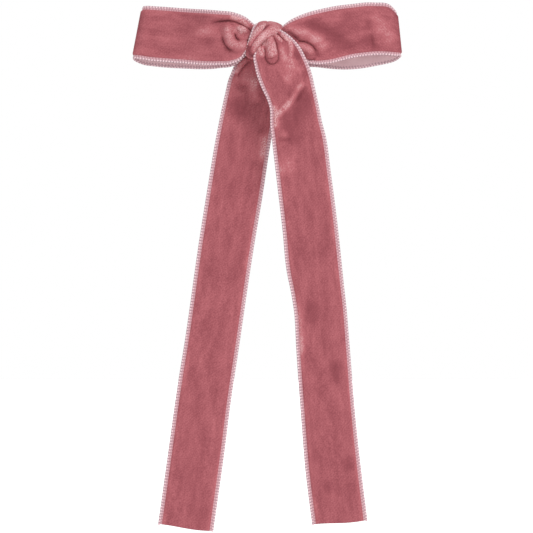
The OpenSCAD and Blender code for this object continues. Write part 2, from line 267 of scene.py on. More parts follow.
@dataclass(frozen=True)
class VelvetPile:
    """Cut viscose velvet: short upright pile, painted dark in creases and pale where it lies over.

    The eye gets a soft mottled body, a painted pale sheen on the crests of folds and on the
    rims, a shader sheen at grazing angles, and painted glints of single tufts.
    """

    # ramp colours: the dark end takes random tone and painted shade, the palest is painted sheen
    deep_and_painted_shade: str = "#672c34"
    body: str = "#8d4a51"
    lit: str = "#ad6369"
    painted_sheen: str = "#d0a4a6"
    sheen_tint: str = "#dca8ab"
    streak_mm: float = 4.5  # width of the patches that handling has brushed
    stretch: float = 3.2  # how much longer than wide they are, along the ribbon
    row_mm: float = 1.15  # rows of tufts are 0.5 mm apart; drawn coarser so that they show
    tuft_mm: float = 0.55  # real tufts are 0.2 mm; drawn coarser so that they show
    grain_mm: float = 0.6  # clumps of tufts that lie over where the pile is brushed
    patch_swing: float = 0.1  # how far each pattern moves the tone
    row_swing: float = 0.018
    tuft_swing: float = 0.06
    grain_swing: float = 0.06
    loose_from: float = 0.72  # tone above which tufts catch the light one by one
    glint: tuple[float, float] = (-1.3, 0.9)  # darkest and palest of those tufts

    def make(self) -> bpy.types.Material:
        """Build the material."""
        material, tree = fresh_material("velvet_pile")
        coordinates = add(tree, "ShaderNodeTexCoord").outputs
        place, flat = coordinates["Object"], coordinates["UV"]
        # the pile's tone at each point, with the painted light and shade of the folds and rims
        tone_and_painted_light = add(tree, "ShaderNodeAttribute", attribute_name="tone_and_painted_light").outputs["Fac"]
        drawn = add(
            tree, "ShaderNodeMapping", {"Vector": flat, "Scale": (1 / self.stretch, 1.0, 1.0)}
        ).outputs[0]
        patches = add(
            tree,
            "ShaderNodeTexNoise",
            {"Vector": drawn, "Scale": 1 / self.streak_mm, "Detail": 4.0, "Roughness": 0.62},
        ).outputs["Fac"]
        rows = add(
            tree,
            "ShaderNodeTexWave",
            {
                "Vector": flat,
                "Scale": 2 * math.pi / (10 * math.sqrt(2) * self.row_mm),
                "Distortion": 2.5,
                "Detail Scale": 0.6,
            },
            bands_direction="DIAGONAL",
        ).outputs["Fac"]
        tufts = add(
            tree,
            "ShaderNodeTexNoise",
            {"Vector": place, "Scale": 1 / (self.tuft_mm * MM), "Detail": 2.0, "Roughness": 0.7},
        ).outputs["Fac"]
        grains = add(
            tree,
            "ShaderNodeTexNoise",
            {"Vector": place, "Scale": 1 / (self.grain_mm * MM), "Detail": 1.0},
        ).outputs["Fac"]
        tone = tone_and_painted_light
        for pattern, low, high, swing in (
            (patches, 0.3, 0.7, self.patch_swing),
            (grains, 0.3, 0.7, self.grain_swing),
            (rows, 0.0, 1.0, self.row_swing),
            (tufts, 0.3, 0.7, self.tuft_swing),
        ):
            span = {"Value": pattern, 1: low, 2: high, 3: -swing, 4: swing}
            shift = add(tree, "ShaderNodeMapRange", span).outputs[0]
            tone = add(tree, "ShaderNodeMath", {0: tone, 1: shift}, operation="ADD").outputs[0]
        over = {0: tone_and_painted_light, 1: self.loose_from}
        loose = add(tree, "ShaderNodeMath", over, operation="SUBTRACT").outputs[0]
        gleam = add(tree, "ShaderNodeMath", {0: loose, 1: 0.0}, operation="MAXIMUM").outputs[0]
        span = {"Value": grains, 1: 0.35, 2: 0.65, 3: self.glint[0], 4: self.glint[1]}
        broken = add(tree, "ShaderNodeMapRange", span).outputs[0]
        mixed = {0: gleam, 1: broken, 2: tone}
        tone = add(tree, "ShaderNodeMath", mixed, operation="MULTIPLY_ADD").outputs[0]
        # ramp from the dark end, which also paints the shade, through the body to painted light and
        # painted sheen
        stops = [(0.0, self.deep_and_painted_shade), (0.42, self.body), (0.66, self.lit), (1.0, self.painted_sheen)]
        relief = {"Height": tufts, "Strength": 0.35, "Distance": 0.18 * MM}
        return shade(
            material,
            {
                "Base Color": add(tree, "ShaderNodeValToRGB", {"Fac": tone}, stops).outputs[0],
                "Normal": add(tree, "ShaderNodeBump", relief).outputs[0],
                "Roughness": 0.95,
                "Specular IOR Level": 0.15,
                "Sheen Weight": 0.3,
                "Sheen Roughness": 0.4,
                "Sheen Tint": linear(self.sheen_tint),
            },
        )


@dataclass(frozen=True)
class SatinBack:
    """The ribbon's woven polyester back: flat, pale, with a soft shine along the weft."""

    pale: str = "#dcb9bd"
    dusk: str = "#c49ca2"
    thread_mm: float = 0.6  # real weft is 0.15 mm; drawn coarser so that it shows

    def make(self) -> bpy.types.Material:
        """Build the material."""
        material, tree = fresh_material("satin_back")
        flat = add(tree, "ShaderNodeTexCoord").outputs["UV"]
        weft = add(
            tree,
            "ShaderNodeTexWave",
            {"Vector": flat, "Scale": 2 * math.pi / (20 * self.thread_mm), "Distortion": 0.8},
            bands_direction="X",
        ).outputs["Fac"]
        slub = add(
            tree, "ShaderNodeTexNoise", {"Vector": flat, "Scale": 0.12, "Detail": 4.0}
        ).outputs["Fac"]
        mixed = {0: weft, 1: 0.3, 2: slub}
        tone = add(tree, "ShaderNodeMath", mixed, operation="MULTIPLY_ADD").outputs[0]
        stops = [(0.2, self.dusk), (1.0, self.pale)]
        relief = {"Height": weft, "Strength": 0.25, "Distance": 0.08 * MM}
        return shade(
            material,
            {
                "Base Color": add(tree, "ShaderNodeValToRGB", {"Fac": tone}, stops).outputs[0],
                "Normal": add(tree, "ShaderNodeBump", relief).outputs[0],
                "Roughness": 0.5,
                "Sheen Weight": 0.2,
            },
        )


@dataclass(frozen=True)
class WovenSelvedge:
    """The bare woven edge beside the pile: pale ribs across the edge, one for each picot."""

    name: str = "woven_selvedge"
    pale: str = "#c3959c"
    shade: str = "#a5767f"
    rib_mm: float = 1.4

    def make(self) -> bpy.types.Material:
        """Build the material."""
        material, tree = fresh_material(self.name)
        flat = add(tree, "ShaderNodeTexCoord").outputs["UV"]
        ribs = add(
            tree,
            "ShaderNodeTexWave",
            {"Vector": flat, "Scale": 2 * math.pi / (20 * self.rib_mm), "Distortion": 0.6},
            bands_direction="X",
        ).outputs["Fac"]
        stops = [(0.1, self.shade), (0.6, self.pale)]
        relief = {"Height": ribs, "Strength": 0.5, "Distance": 0.2 * MM}
        return shade(
            material,
            {
                "Base Color": add(tree, "ShaderNodeValToRGB", {"Fac": ribs}, stops).outputs[0],
                "Normal": add(tree, "ShaderNodeBump", relief).outputs[0],
                "Roughness": 0.55,
                "Sheen Weight": 0.3,
            },
        )


@dataclass(frozen=True)
class SpunThread:
    """Twisted thread: even colour with a faint twist, and a soft gleam on its crown."""

    name: str
    crown: str
    groove: str
    roughness: float = 0.45
    twist_mm: float = 0.4

    def make(self) -> bpy.types.Material:
        """Build the material."""
        material, tree = fresh_material(self.name)
        place = add(tree, "ShaderNodeTexCoord").outputs["Object"]
        twist = add(
            tree,
            "ShaderNodeTexNoise",
            {"Vector": place, "Scale": 1 / (self.twist_mm * MM), "Detail": 2.0},
        ).outputs["Fac"]
        stops = [(0.35, self.groove), (0.6, self.crown)]
        relief = {"Height": twist, "Strength": 0.4, "Distance": 0.06 * MM}
        return shade(
            material,
            {
                "Base Color": add(tree, "ShaderNodeValToRGB", {"Fac": twist}, stops).outputs[0],
                "Normal": add(tree, "ShaderNodeBump", relief).outputs[0],
                "Roughness": self.roughness,
                "Sheen Weight": 0.25,
            },
        )


@dataclass(frozen=True)
class NickelPlate:
    """Stamped steel, bright nickel plated: a clear grey shine with fine drawing lines."""

    name: str
    bright: str
    dull: str
    roughness_low: float
    roughness_high: float
    line_mm: float = 0.25
    cloud_scale: float = 220.0  # patches of about 4.5 mm where the plate has dulled

    def make(self) -> bpy.types.Material:
        """Build the material."""
        material, tree = fresh_material(self.name)
        place = add(tree, "ShaderNodeTexCoord").outputs["Object"]
        along = add(tree, "ShaderNodeMapping", {"Vector": place, "Scale": (0.02, 1.0, 1.0)})
        lines = add(
            tree,
            "ShaderNodeTexNoise",
            {"Vector": along.outputs[0], "Scale": 1 / (self.line_mm * MM), "Detail": 3.0},
        ).outputs["Fac"]
        cloud = add(
            tree, "ShaderNodeTexNoise", {"Vector": place, "Scale": self.cloud_scale, "Detail": 3.0}
        ).outputs["Fac"]
        span = {"Value": lines, 1: 0.3, 2: 0.7, 3: self.roughness_low, 4: self.roughness_high}
        stops = [(0.3, self.dull), (0.65, self.bright)]
        relief = {"Height": lines, "Strength": 0.08, "Distance": 0.02 * MM}
        return shade(
            material,
            {
                "Base Color": add(tree, "ShaderNodeValToRGB", {"Fac": cloud}, stops).outputs[0],
                "Normal": add(tree, "ShaderNodeBump", relief).outputs[0],
                "Roughness": add(tree, "ShaderNodeMapRange", span).outputs[0],
                "Metallic": 1.0,
            },
        )


class Finishes:
    """Every material of the object, made once."""

    def __init__(self) -> None:
        """Make the materials."""
        self.pile = VelvetPile().make()
        self.back = SatinBack().make()
        self.selvedge = WovenSelvedge().make()
        self.underside = WovenSelvedge("selvedge_underside", "#cca6ad", "#a9858d").make()
        # edge thread, a little dark so that it also paints the shade in the gaps between picots
        self.edge = SpunThread("edge_warp_and_gap_shade", "#b8949b", "#997680").make()
        self.picot = SpunThread("picot_thread", "#e7ccd0", "#d2a9af", 0.35).make()
        self.sewing = SpunThread("sewing_thread", "#a05a65", "#74404a", 0.6).make()
        self.nickel = NickelPlate("nickel_plate", "#b1aea9", "#a29f9a", 0.14, 0.26).make()
        self.spring = NickelPlate("spring_strip", "#9a9a9a", "#87888a", 0.22, 0.36).make()

    def ribbon(self) -> tuple[bpy.types.Material, ...]:
        """List the ribbon's materials in the order of its faces' slots."""
        return (self.pile, self.back, self.selvedge, self.edge, self.underside)


# ---------- geometry node trees ----------


class NodeTool:
    """A geometry node tree with named inputs, run once on a mesh."""

    def __init__(self, name: str, inputs: Sequence[tuple[str, str]]) -> None:
        """Start a tree.

        Args:
            name: the tree's name.
            inputs: name and socket type of each input after the geometry.
        """
        self.tree = bpy.data.node_groups.new(name, "GeometryNodeTree")
        face = self.tree.interface
        face.new_socket("Geometry", in_out="INPUT", socket_type="NodeSocketGeometry")
        face.new_socket("Geometry", in_out="OUTPUT", socket_type="NodeSocketGeometry")
        self.sockets = {
            label: face.new_socket(label, in_out="INPUT", socket_type=kind)
            for label, kind in inputs
        }
        self.entry = add(self.tree, "NodeGroupInput").outputs

    def end(self, made: bpy.types.NodeSocket) -> None:
        """Realize the instances, set the material and join the output.

        Args:
            made: socket with the finished geometry.
        """
        real = add(self.tree, "GeometryNodeRealizeInstances", {0: made}).outputs[0]
        soft = add(self.tree, "GeometryNodeSetShadeSmooth", {"Geometry": real}).outputs[0]
        finish = {"Geometry": soft, "Material": self.entry["Material"]}
        done = add(self.tree, "GeometryNodeSetMaterial", finish).outputs[0]
        add(self.tree, "NodeGroupOutput", {0: done})

    def run(self, name: str, seed: bpy.types.Mesh, values: dict[str, Any]) -> bpy.types.Object:
        """Run the tree on a mesh and keep the result as a plain mesh.

        Args:
            name: the new piece's name.
            seed: mesh that the tree starts from.
            values: value of each named input.

        Returns:
            The new piece.
        """
        carrier = bpy.data.objects.new(name + "_seed", seed)
        bpy.context.scene.collection.objects.link(carrier)
        modifier = carrier.modifiers.new("make", "NODES")
        modifier.node_group = self.tree
        for label, value in values.items():
            modifier[self.sockets[label].identifier] = value
        bpy.context.view_layer.update()
        shaped = carrier.evaluated_get(bpy.context.evaluated_depsgraph_get())
        mesh = bpy.data.meshes.new_from_object(shaped)
        bpy.data.objects.remove(carrier)
        mesh.name = name
        piece = bpy.data.objects.new(name, mesh)
        bpy.context.scene.collection.objects.link(piece)
        return piece


class StitchRow(NodeTool):
    """Small rounded stitches at an even pitch along the edges of a seed mesh."""

    def __init__(self) -> None:
        """Build the tree."""
        super().__init__(
            "stitch_row",
            [
                ("Pitch", "NodeSocketFloat"),
                ("Stitch Size", "NodeSocketVector"),
                ("Material", "NodeSocketMaterial"),
            ],
        )
        tree, entry = self.tree, self.entry
        line = add(tree, "GeometryNodeMeshToCurve", {0: entry["Geometry"]}).outputs[0]
        steps = {"Curve": line, "Length": entry["Pitch"]}
        spaced = add(tree, "GeometryNodeResampleCurve", steps, mode="LENGTH").outputs[0]
        tangent = add(tree, "GeometryNodeInputTangent").outputs[0]
        facing = add(
            tree, "GeometryNodeInputNamedAttribute", {"Name": "facing"}, data_type="FLOAT_VECTOR"
        ).outputs["Attribute"]
        turned = add(
            tree,
            "FunctionNodeAxesToRotation",
            {0: tangent, 1: facing},
            primary_axis="X",
            secondary_axis="Z",
        ).outputs[0]
        bead = add(
            tree, "GeometryNodeMeshUVSphere", {"Segments": 8, "Rings": 5, "Radius": 0.5}
        ).outputs[0]
        placed = add(
            tree,
            "GeometryNodeInstanceOnPoints",
            {
                "Points": spaced,
                "Instance": bead,
                "Rotation": turned,
                "Scale": entry["Stitch Size"],
            },
        ).outputs[0]
        self.end(placed)


def line_mesh(
    name: str, lines: Sequence[np.ndarray], facings: Sequence[np.ndarray]
) -> bpy.types.Mesh:
    """Make a mesh of edges for a node tool to start from.

    Args:
        name: the mesh's name.
        lines: points of each line, in metres.
        facings: the way out of the cloth at each point of each line.

    Returns:
        The mesh, with the facings in an attribute.
    """
    mesh = bpy.data.meshes.new(name)
    edges, start = [], 0
    for line in lines:
        edges += [(start + i, start + i + 1) for i in range(len(line) - 1)]
        start += len(line)
    mesh.from_pydata(np.concatenate(lines).tolist(), edges, [])
    attribute = mesh.attributes.new("facing", "FLOAT_VECTOR", "POINT")
    attribute.data.foreach_set("vector", np.concatenate(facings).astype(np.float32).ravel())
    return mesh


# ---------- ribbon ----------


@dataclass(frozen=True)
class Weave:
    """What the ribbon is everywhere along its length, in millimetres."""

    width: float = 25.0
    selvedge: float = 1.7
    cloth: float = 0.4
    pile: float = 0.6
    pitch: float = 1.4
    eyelet: float = 0.9
    picot: Point = (1.06, 1.1, 0.9)
    picot_inset: float = 0.48
    # painted sheen along the pile's rims: how much paler, and over what width
    painted_sheen: float = 0.08
    painted_sheen_width: float = 3.0

    def rim_painted_sheen(self, across: np.ndarray) -> np.ndarray:
        """Give the painted sheen that makes the pile paler where it leans out over the selvedges.

        Args:
            across: place from -1 to 1.

        Returns:
            What is added to the pile's tone as painted sheen.
        """
        from_edge = (1.0 - np.abs(across)) * self.width / 2
        return self.painted_sheen * (1 - smooth(self.selvedge, self.selvedge + self.painted_sheen_width, from_edge))

    def pile_over(self, across: np.ndarray) -> np.ndarray:
        """Give the pile's height over the cloth at each place across the ribbon.

        Args:
            across: place from -1 to 1.

        Returns:
            Height in millimetres, 0 on the selvedges.
        """
        from_edge = (1.0 - np.abs(across)) * self.width / 2
        return self.pile * smooth(self.selvedge - 0.15, self.selvedge + 0.7, from_edge)


@dataclass(frozen=True)
class Station:
    """One line across the ribbon.

    Attributes:
        near: the selvedge that lies low or left, (x, y, z).
        far: the other selvedge.
        crown: how far the middle stands off the straight line between them.
        folded: share of the front's folds that reaches here.
    """

    near: Point
    far: Point
    crown: Point = (0.0, 0.0, 0.0)
    folded: float = 1.0


def hung(depth: float, *rims: tuple[float, float, float, float]) -> tuple[Station, ...]:
    """List stations that hang flat at one depth.

    Args:
        depth: their y.
        rims: x and z of the near selvedge, then of the far one, for each station.

    Returns:
        The stations.
    """
    return tuple(Station((x, depth, z), (far_x, depth, far_z)) for x, z, far_x, far_z in rims)


class Rims(Enum):
    """Which rims of a stretch show their picots."""

    BOTH = (0, -1)
    NEAR = (0,)


@dataclass
class Ribbon:
    """One stretch of the ribbon, from its stations to its meshes."""

    name: str
    stations: tuple[Station, ...]
    folds: tuple[Fold, ...] = ()
    rows: int = 260
    columns: int = 60
    sway: float = 0.0
    cut_wave: float = 0.0
    pleats: tuple[Spot, ...] = ((-1.0, 0.0), (1.0, 0.0))
    gathered_half: float = 12.5
    rims: Rims = Rims.BOTH
    # base tone of the pile; on the knot it is raised as painted light
    base_tone_and_light: float = 0.5
    cut_at: float = 0.0
    weave: Weave = field(default_factory=Weave)

    def across(self) -> np.ndarray:
        """Places across the ribbon, with a column on each border of the pile."""
        from_edge = np.array([self.weave.selvedge, 1.2, self.weave.eyelet, 0.0])
        rim = 1.0 - 2.0 * from_edge / self.weave.width
        middle = np.linspace(-rim[0], rim[0], self.columns - 6)
        return np.concatenate([-rim[:0:-1], middle, rim[1:]])

    def section(self) -> tuple[np.ndarray, np.ndarray]:
        """Follow the pleats across the ribbon by the cloth's own length.

        Returns:
            Where each column lies across the stretch, from -1 to 1, and how far it stands out.
        """
        spots = np.array(self.pleats, float)
        knots = chord_knots(spots * [self.gathered_half, 1.0])
        run = through(spots, knots, (self.across() + 1) / 2 * knots[-1])
        return run[:, 0], run[:, 1]

    def surface(self) -> tuple[np.ndarray, np.ndarray, np.ndarray]:
        """Work out the cloth's middle surface.

        Returns:
            Points in millimetres, the way out of the pile, and the pile's tone with painted light
            and shade.
        """
        table = np.array([[*s.near, *s.far, *s.crown, s.folded] for s in self.stations], float)
        knots = chord_knots((table[:, 0:3] + table[:, 3:6]) / 2)
        at = np.linspace(0.0, knots[-1], self.rows)
        run = through(table, knots, at)
        lies, stands = (column[None, :, None] for column in self.section())
        near, far, crown = run[:, None, 0:3], run[:, None, 3:6], run[:, None, 6:9]
        points = near + (far - near) * (lies + 1) / 2 + crown * (1 - lies * lies)
        share = np.clip(run[:, None, 9], 0.0, 1.0)
        facing = unit(np.cross(np.gradient((near + far) / 2, axis=0), far - near))
        foremost = points[:, :, 1].mean(axis=1).argmin()
        if facing[foremost, 0, 1] > 0:
            facing = -facing
        points = points + facing * stands * (0.25 + 0.75 * share[:, :, None])
        rise = np.zeros(points.shape[:2])
        # base tone and painted sheen along the rims; each fold below adds painted highlight or
        # painted shade
        tone_and_painted_light = self.base_tone_and_light + np.broadcast_to(self.weave.rim_painted_sheen(self.across()), points.shape[:2])
        for fold in self.folds:
            here = fold.share(points[..., 0], points[..., 2]) * share
            rise += fold.height * here
            tone_and_painted_light += fold.painted_light * here
        points[..., 1] -= rise
        if self.sway:
            long_bend, short_bend, turn = 31.0, 13.0, 47.0
            held, free_from = 40.0, 90.0
            wave = np.sin(at / long_bend) * 0.6 + np.sin(at / short_bend + 1.3) * 0.25
            twist = np.sin(at / turn + 0.6)[:, None] * self.across()[None, :]
            free = smooth(held, free_from, at)[:, None]
            points[..., 1] += self.sway * free * (wave[:, None] + 0.8 * twist)
        if self.cut_wave:
            cut_reach = 9.0
            near_cut = smooth(at[-1] - cut_reach, at[-1], at)[:, None]
            points[..., 2] -= self.cut_wave * near_cut * np.sin(2.4 * self.across() + 0.5)[None, :]
        along = np.gradient(points, axis=0)
        over = np.gradient(points, axis=1)
        out = unit(np.cross(along, over))
        if (out[foremost] * facing[foremost]).sum() < 0:
            out = -out
        return points, out, np.clip(tone_and_painted_light, 0.0, 1.0)

    def build(self, finishes: Finishes) -> bpy.types.Object:
        """Make the closed mesh of this stretch: pile face, back face and its rims.

        Args:
            finishes: the object's materials.

        Returns:
            The ribbon's piece.
        """
        points, out, tone_and_painted_light = self.surface()
        rows, columns = points.shape[:2]
        v = self.across()
        lift = self.weave.cloth / 2 + self.weave.pile_over(v)[None, :, None]
        front = points + out * lift
        back = points - out * self.weave.cloth / 2
        count = rows * columns
        index = np.arange(count).reshape(rows, columns)
        a, b = index[:-1, :-1].ravel(), index[:-1, 1:].ravel()
        c, d = index[1:, 1:].ravel(), index[1:, :-1].ravel()
        front_faces = np.stack([a, b, c, d], axis=1)
        back_faces = np.stack([d, c, b, a], axis=1) + count
        rims = [index[:, 0][::-1], index[:, -1], index[0], index[-1][::-1]]
        rim_faces = np.concatenate(
            [np.stack([r[1:], r[:-1], r[:-1] + count, r[1:] + count], axis=1) for r in rims]
        )
        faces = np.concatenate([front_faces, back_faces, rim_faces])
        first = np.cross(front[1, 0] - front[0, 0], front[0, 1] - front[0, 0])
        if np.dot(first, out[0, 0]) > 0:
            faces = faces[:, ::-1]
        mesh = bpy.data.meshes.new(self.name)
        vertices = np.concatenate([front.reshape(-1, 3), back.reshape(-1, 3)]) * MM
        mesh.from_pydata(vertices.tolist(), [], faces.tolist())
        self._dress(mesh, finishes, points, v, tone_and_painted_light, len(front_faces))
        piece = bpy.data.objects.new(self.name, mesh)
        bpy.context.scene.collection.objects.link(piece)
        return piece

    def _dress(
        self,
        mesh: bpy.types.Mesh,
        finishes: Finishes,
        points: np.ndarray,
        v: np.ndarray,
        tone_and_painted_light: np.ndarray,
        face_count: int,
    ) -> None:
        """Give the mesh its materials, its flat UV map in millimetres and its pile tone with
        painted light.

        Args:
            mesh: the ribbon's mesh.
            finishes: the object's materials.
            points: the cloth's middle surface.
            v: places across the ribbon.
            tone_and_painted_light: tone of the pile at each point, with painted light and shade.
            face_count: faces on the pile side.
        """
        rows, columns = points.shape[:2]
        for material in finishes.ribbon():
            mesh.materials.append(material)
        centre = points[:, columns // 2]
        down = np.broadcast_to(self.cut_at + chord_knots(centre)[:, None], (rows, columns))
        across = np.broadcast_to((v * self.weave.width / 2)[None, :], (rows, columns))
        flat = np.tile(np.stack([down, across], axis=-1).reshape(-1, 2), (2, 1))
        corners = np.empty(len(mesh.loops), dtype=np.int32)
        mesh.loops.foreach_get("vertex_index", corners)
        layer = mesh.uv_layers.new(name="flat")
        layer.data.foreach_set("uv", flat[corners].astype(np.float32).ravel())
        middle = np.abs(v[:-1] + v[1:]) / 2
        on_selvedge = middle > 1.0 - 2.0 * self.weave.selvedge / self.weave.width
        # the outer strip takes the edge thread, whose colour also paints the shade between the
        # picots
        on_eyelets = middle > middle.max() - 0.001
        on_pile_face = np.tile(np.where(on_eyelets, 3, np.where(on_selvedge, 2, 0)), rows - 1)
        on_back_face = np.tile(np.where(on_eyelets, 3, np.where(on_selvedge, 4, 1)), rows - 1)
        rim = np.full(len(mesh.polygons) - 2 * face_count, 3)
        slots = np.concatenate([on_pile_face, on_back_face, rim]).astype(np.int32)
        mesh.polygons.foreach_set("material_index", slots)
        mesh.polygons.foreach_set("use_smooth", np.ones(len(mesh.polygons), dtype=bool))
        # the pile's tone with its painted light and shade, kept for the velvet to read
        attribute = mesh.attributes.new("tone_and_painted_light", "FLOAT", "POINT")
        attribute.data.foreach_set("value", np.tile(tone_and_painted_light.ravel(), 2).astype(np.float32))
        mesh.validate()
        mesh.update()

    def edging(self, tool: StitchRow, finishes: Finishes) -> bpy.types.Object:
        """Make the picots, the small loops of thread over the rims.

        Args:
            tool: the tree that lays the stitches.
            finishes: the object's materials.

        Returns:
            The edging's piece.
        """
        points, out, _ = self.surface()
        inset = self.weave.picot_inset
        lines, facings = [], []
        for rim, inner in ((0, 1), (-1, -2)):
            if rim in self.rims.value:
                inward = unit(points[:, inner] - points[:, rim])
                lines.append((points[:, rim] + inward * inset) * MM)
                facings.append(out[:, rim])
        values = {
            "Pitch": self.weave.pitch * MM,
            "Stitch Size": tuple(size * MM for size in self.weave.picot),
            "Material": finishes.picot,
        }
        return tool.run(self.name + "_edging", line_mesh("rims", lines, facings), values)


# ---------- the bow's stretches ----------

LEFT_LOOP = Ribbon(
    "left_loop_ribbon",
    (
        Station((-2.5, -17, -3), (-2, -17, 4.5)),
        Station((-9, -19.6, -4.8), (-6.6, -18.4, 6.8)),
        Station((-12.1, -19.2, -9.6), (-9.6, -18.5, 9.4)),
        Station((-16.9, -18.2, -12.3), (-15.5, -18, 11.9)),
        Station((-23.5, -16.4, -12.8), (-23.5, -16.4, 12.9)),
        Station((-42.8, -9.6, -11.5), (-41.1, -9.6, 14.6)),
        Station((-57, -6.9, -10.2), (-52, -7.4, 15.5)),
        Station((-61.8, -6.3, -9.4), (-57.6, -6.5, 15.8)),
        Station((-63.6, -5.2, -9.2), (-58.9, -5.4, 15.6), folded=0.6),
        Station((-63.9, -4.1, -9.4), (-59.2, -4.3, 15), folded=0.5),
        Station((-63.3, -2.6, -10.2), (-58.6, -2.8, 14.2), folded=0.2),
        Station((-60.5, -1.9, -11.6), (-56.6, -2.1, 13), folded=0),
        Station((-53.4, -2.2, -12.9), (-50, -2.4, 11.4), folded=0),
        Station((-40, -2.9, -13.9), (-40, -2.9, 10.4), folded=0),
        Station((-23.5, -7.6, -14), (-23.5, -7.6, 10.2), folded=0),
        Station((-14.7, -8.9, -12.2), (-14.7, -8.9, 9.6), folded=0),
        Station((-9.5, -10.4, -7.6), (-9.5, -9.8, 7.2), folded=0),
        Station((-3, -11.5, -4), (-3, -11.5, 4), folded=0),
    ),
    (
        # the top edge rolls over and hides the start of the crease under it; painted light on the
        # roll, painted shade in the crease
        Fold(((-36, 6.6), (-28, 9), (-21, 10.5), (-15.5, 10.2), (-11.5, 8.2), (-4.5, 3.6)),
             2.6, 3.2, steep=3, painted_light=0.04, fade=12),
        Fold(((-18.5, 9.8), (-12.5, 8), (-7.5, 5)), 0, 2, painted_light=0.2, fade=3),
        Fold(((-28, 7.4), (-20.5, 8.3), (-15.6, 8.1), (-12.2, 6.4), (-9, 4.2), (-5, 1.4)),
             -2.5, 0.85, painted_light=-0.6, fade=8),
        # the round finger of cloth that curls below it, painted light on it and painted shade round
        # it
        Fold(((-16.2, 6.4), (-18.6, 4), (-18, -0.2), (-15.2, -3.2), (-12, -3.6), (-8.6, -1.6)),
             2.9, 1.9, painted_light=0.22, fade=3),
        Fold(((-20.9, 3.4), (-20.6, 0.2), (-19.6, -3), (-17.4, -5.2), (-14.4, -5.9)),
             -1.5, 1.1, painted_light=-0.26, fade=4),
        Fold(((-14.9, 2.6), (-15.1, 0.6), (-13.8, -1.2), (-12.2, -1.6)), -2.2, 0.8, painted_light=-0.45,
             fade=1.2),
        Fold(((-16.6, 6.6), (-13, 2), (-9.4, 1.6)), 0, 2.4, painted_light=0.14, fade=3),
        Fold(((-13.8, 3.4), (-11.5, 4.2), (-8.4, 4)), 1.2, 1.6, painted_light=0.36, fade=1.5),
        Fold(((-10.6, 0.4), (-8.6, -0.8)), 0.4, 1.4, painted_light=0.22, fade=1.5),
        # long soft waves over the flat of the loop, with painted light and painted shade along them
        Fold(((-38, 1.2), (-28, 3.2), (-21, 4.2)), 0.9, 2.6, painted_light=0.16, fade=8),
        Fold(((-34, -0.8), (-22, -0.6)), -0.8, 2.6, painted_light=-0.12, fade=6),
        Fold(((-46, 2), (-40, 6), (-30, 7.4)), 0.4, 3.4, painted_light=-0.02, fade=6),
        Fold(((-44, 11.4), (-34, 10.6), (-24, 9.6)), -0.2, 1.8, painted_light=-0.14, fade=6),
        Fold(((-53, 8), (-54, 0), (-51, -6)), -0.2, 2.4, painted_light=-0.07, fade=5),
        Fold(((-40, 0), (-33, -3.4), (-26, -4.4)), 0.2, 2.6, painted_light=0.02, fade=5),
        Fold(((-56, -3), (-50, -5.5), (-44, -6)), -0.3, 2, painted_light=-0.02, fade=4),
        # painted shade along the loop's turned end
        Fold(((-59.6, 13), (-61.8, 3), (-64.2, -8)), 0, 1.2, painted_light=-0.18, fade=3),
    ),
    rows=300,
    columns=76,
    base_tone_and_light=0.54,
    cut_at=240,
)

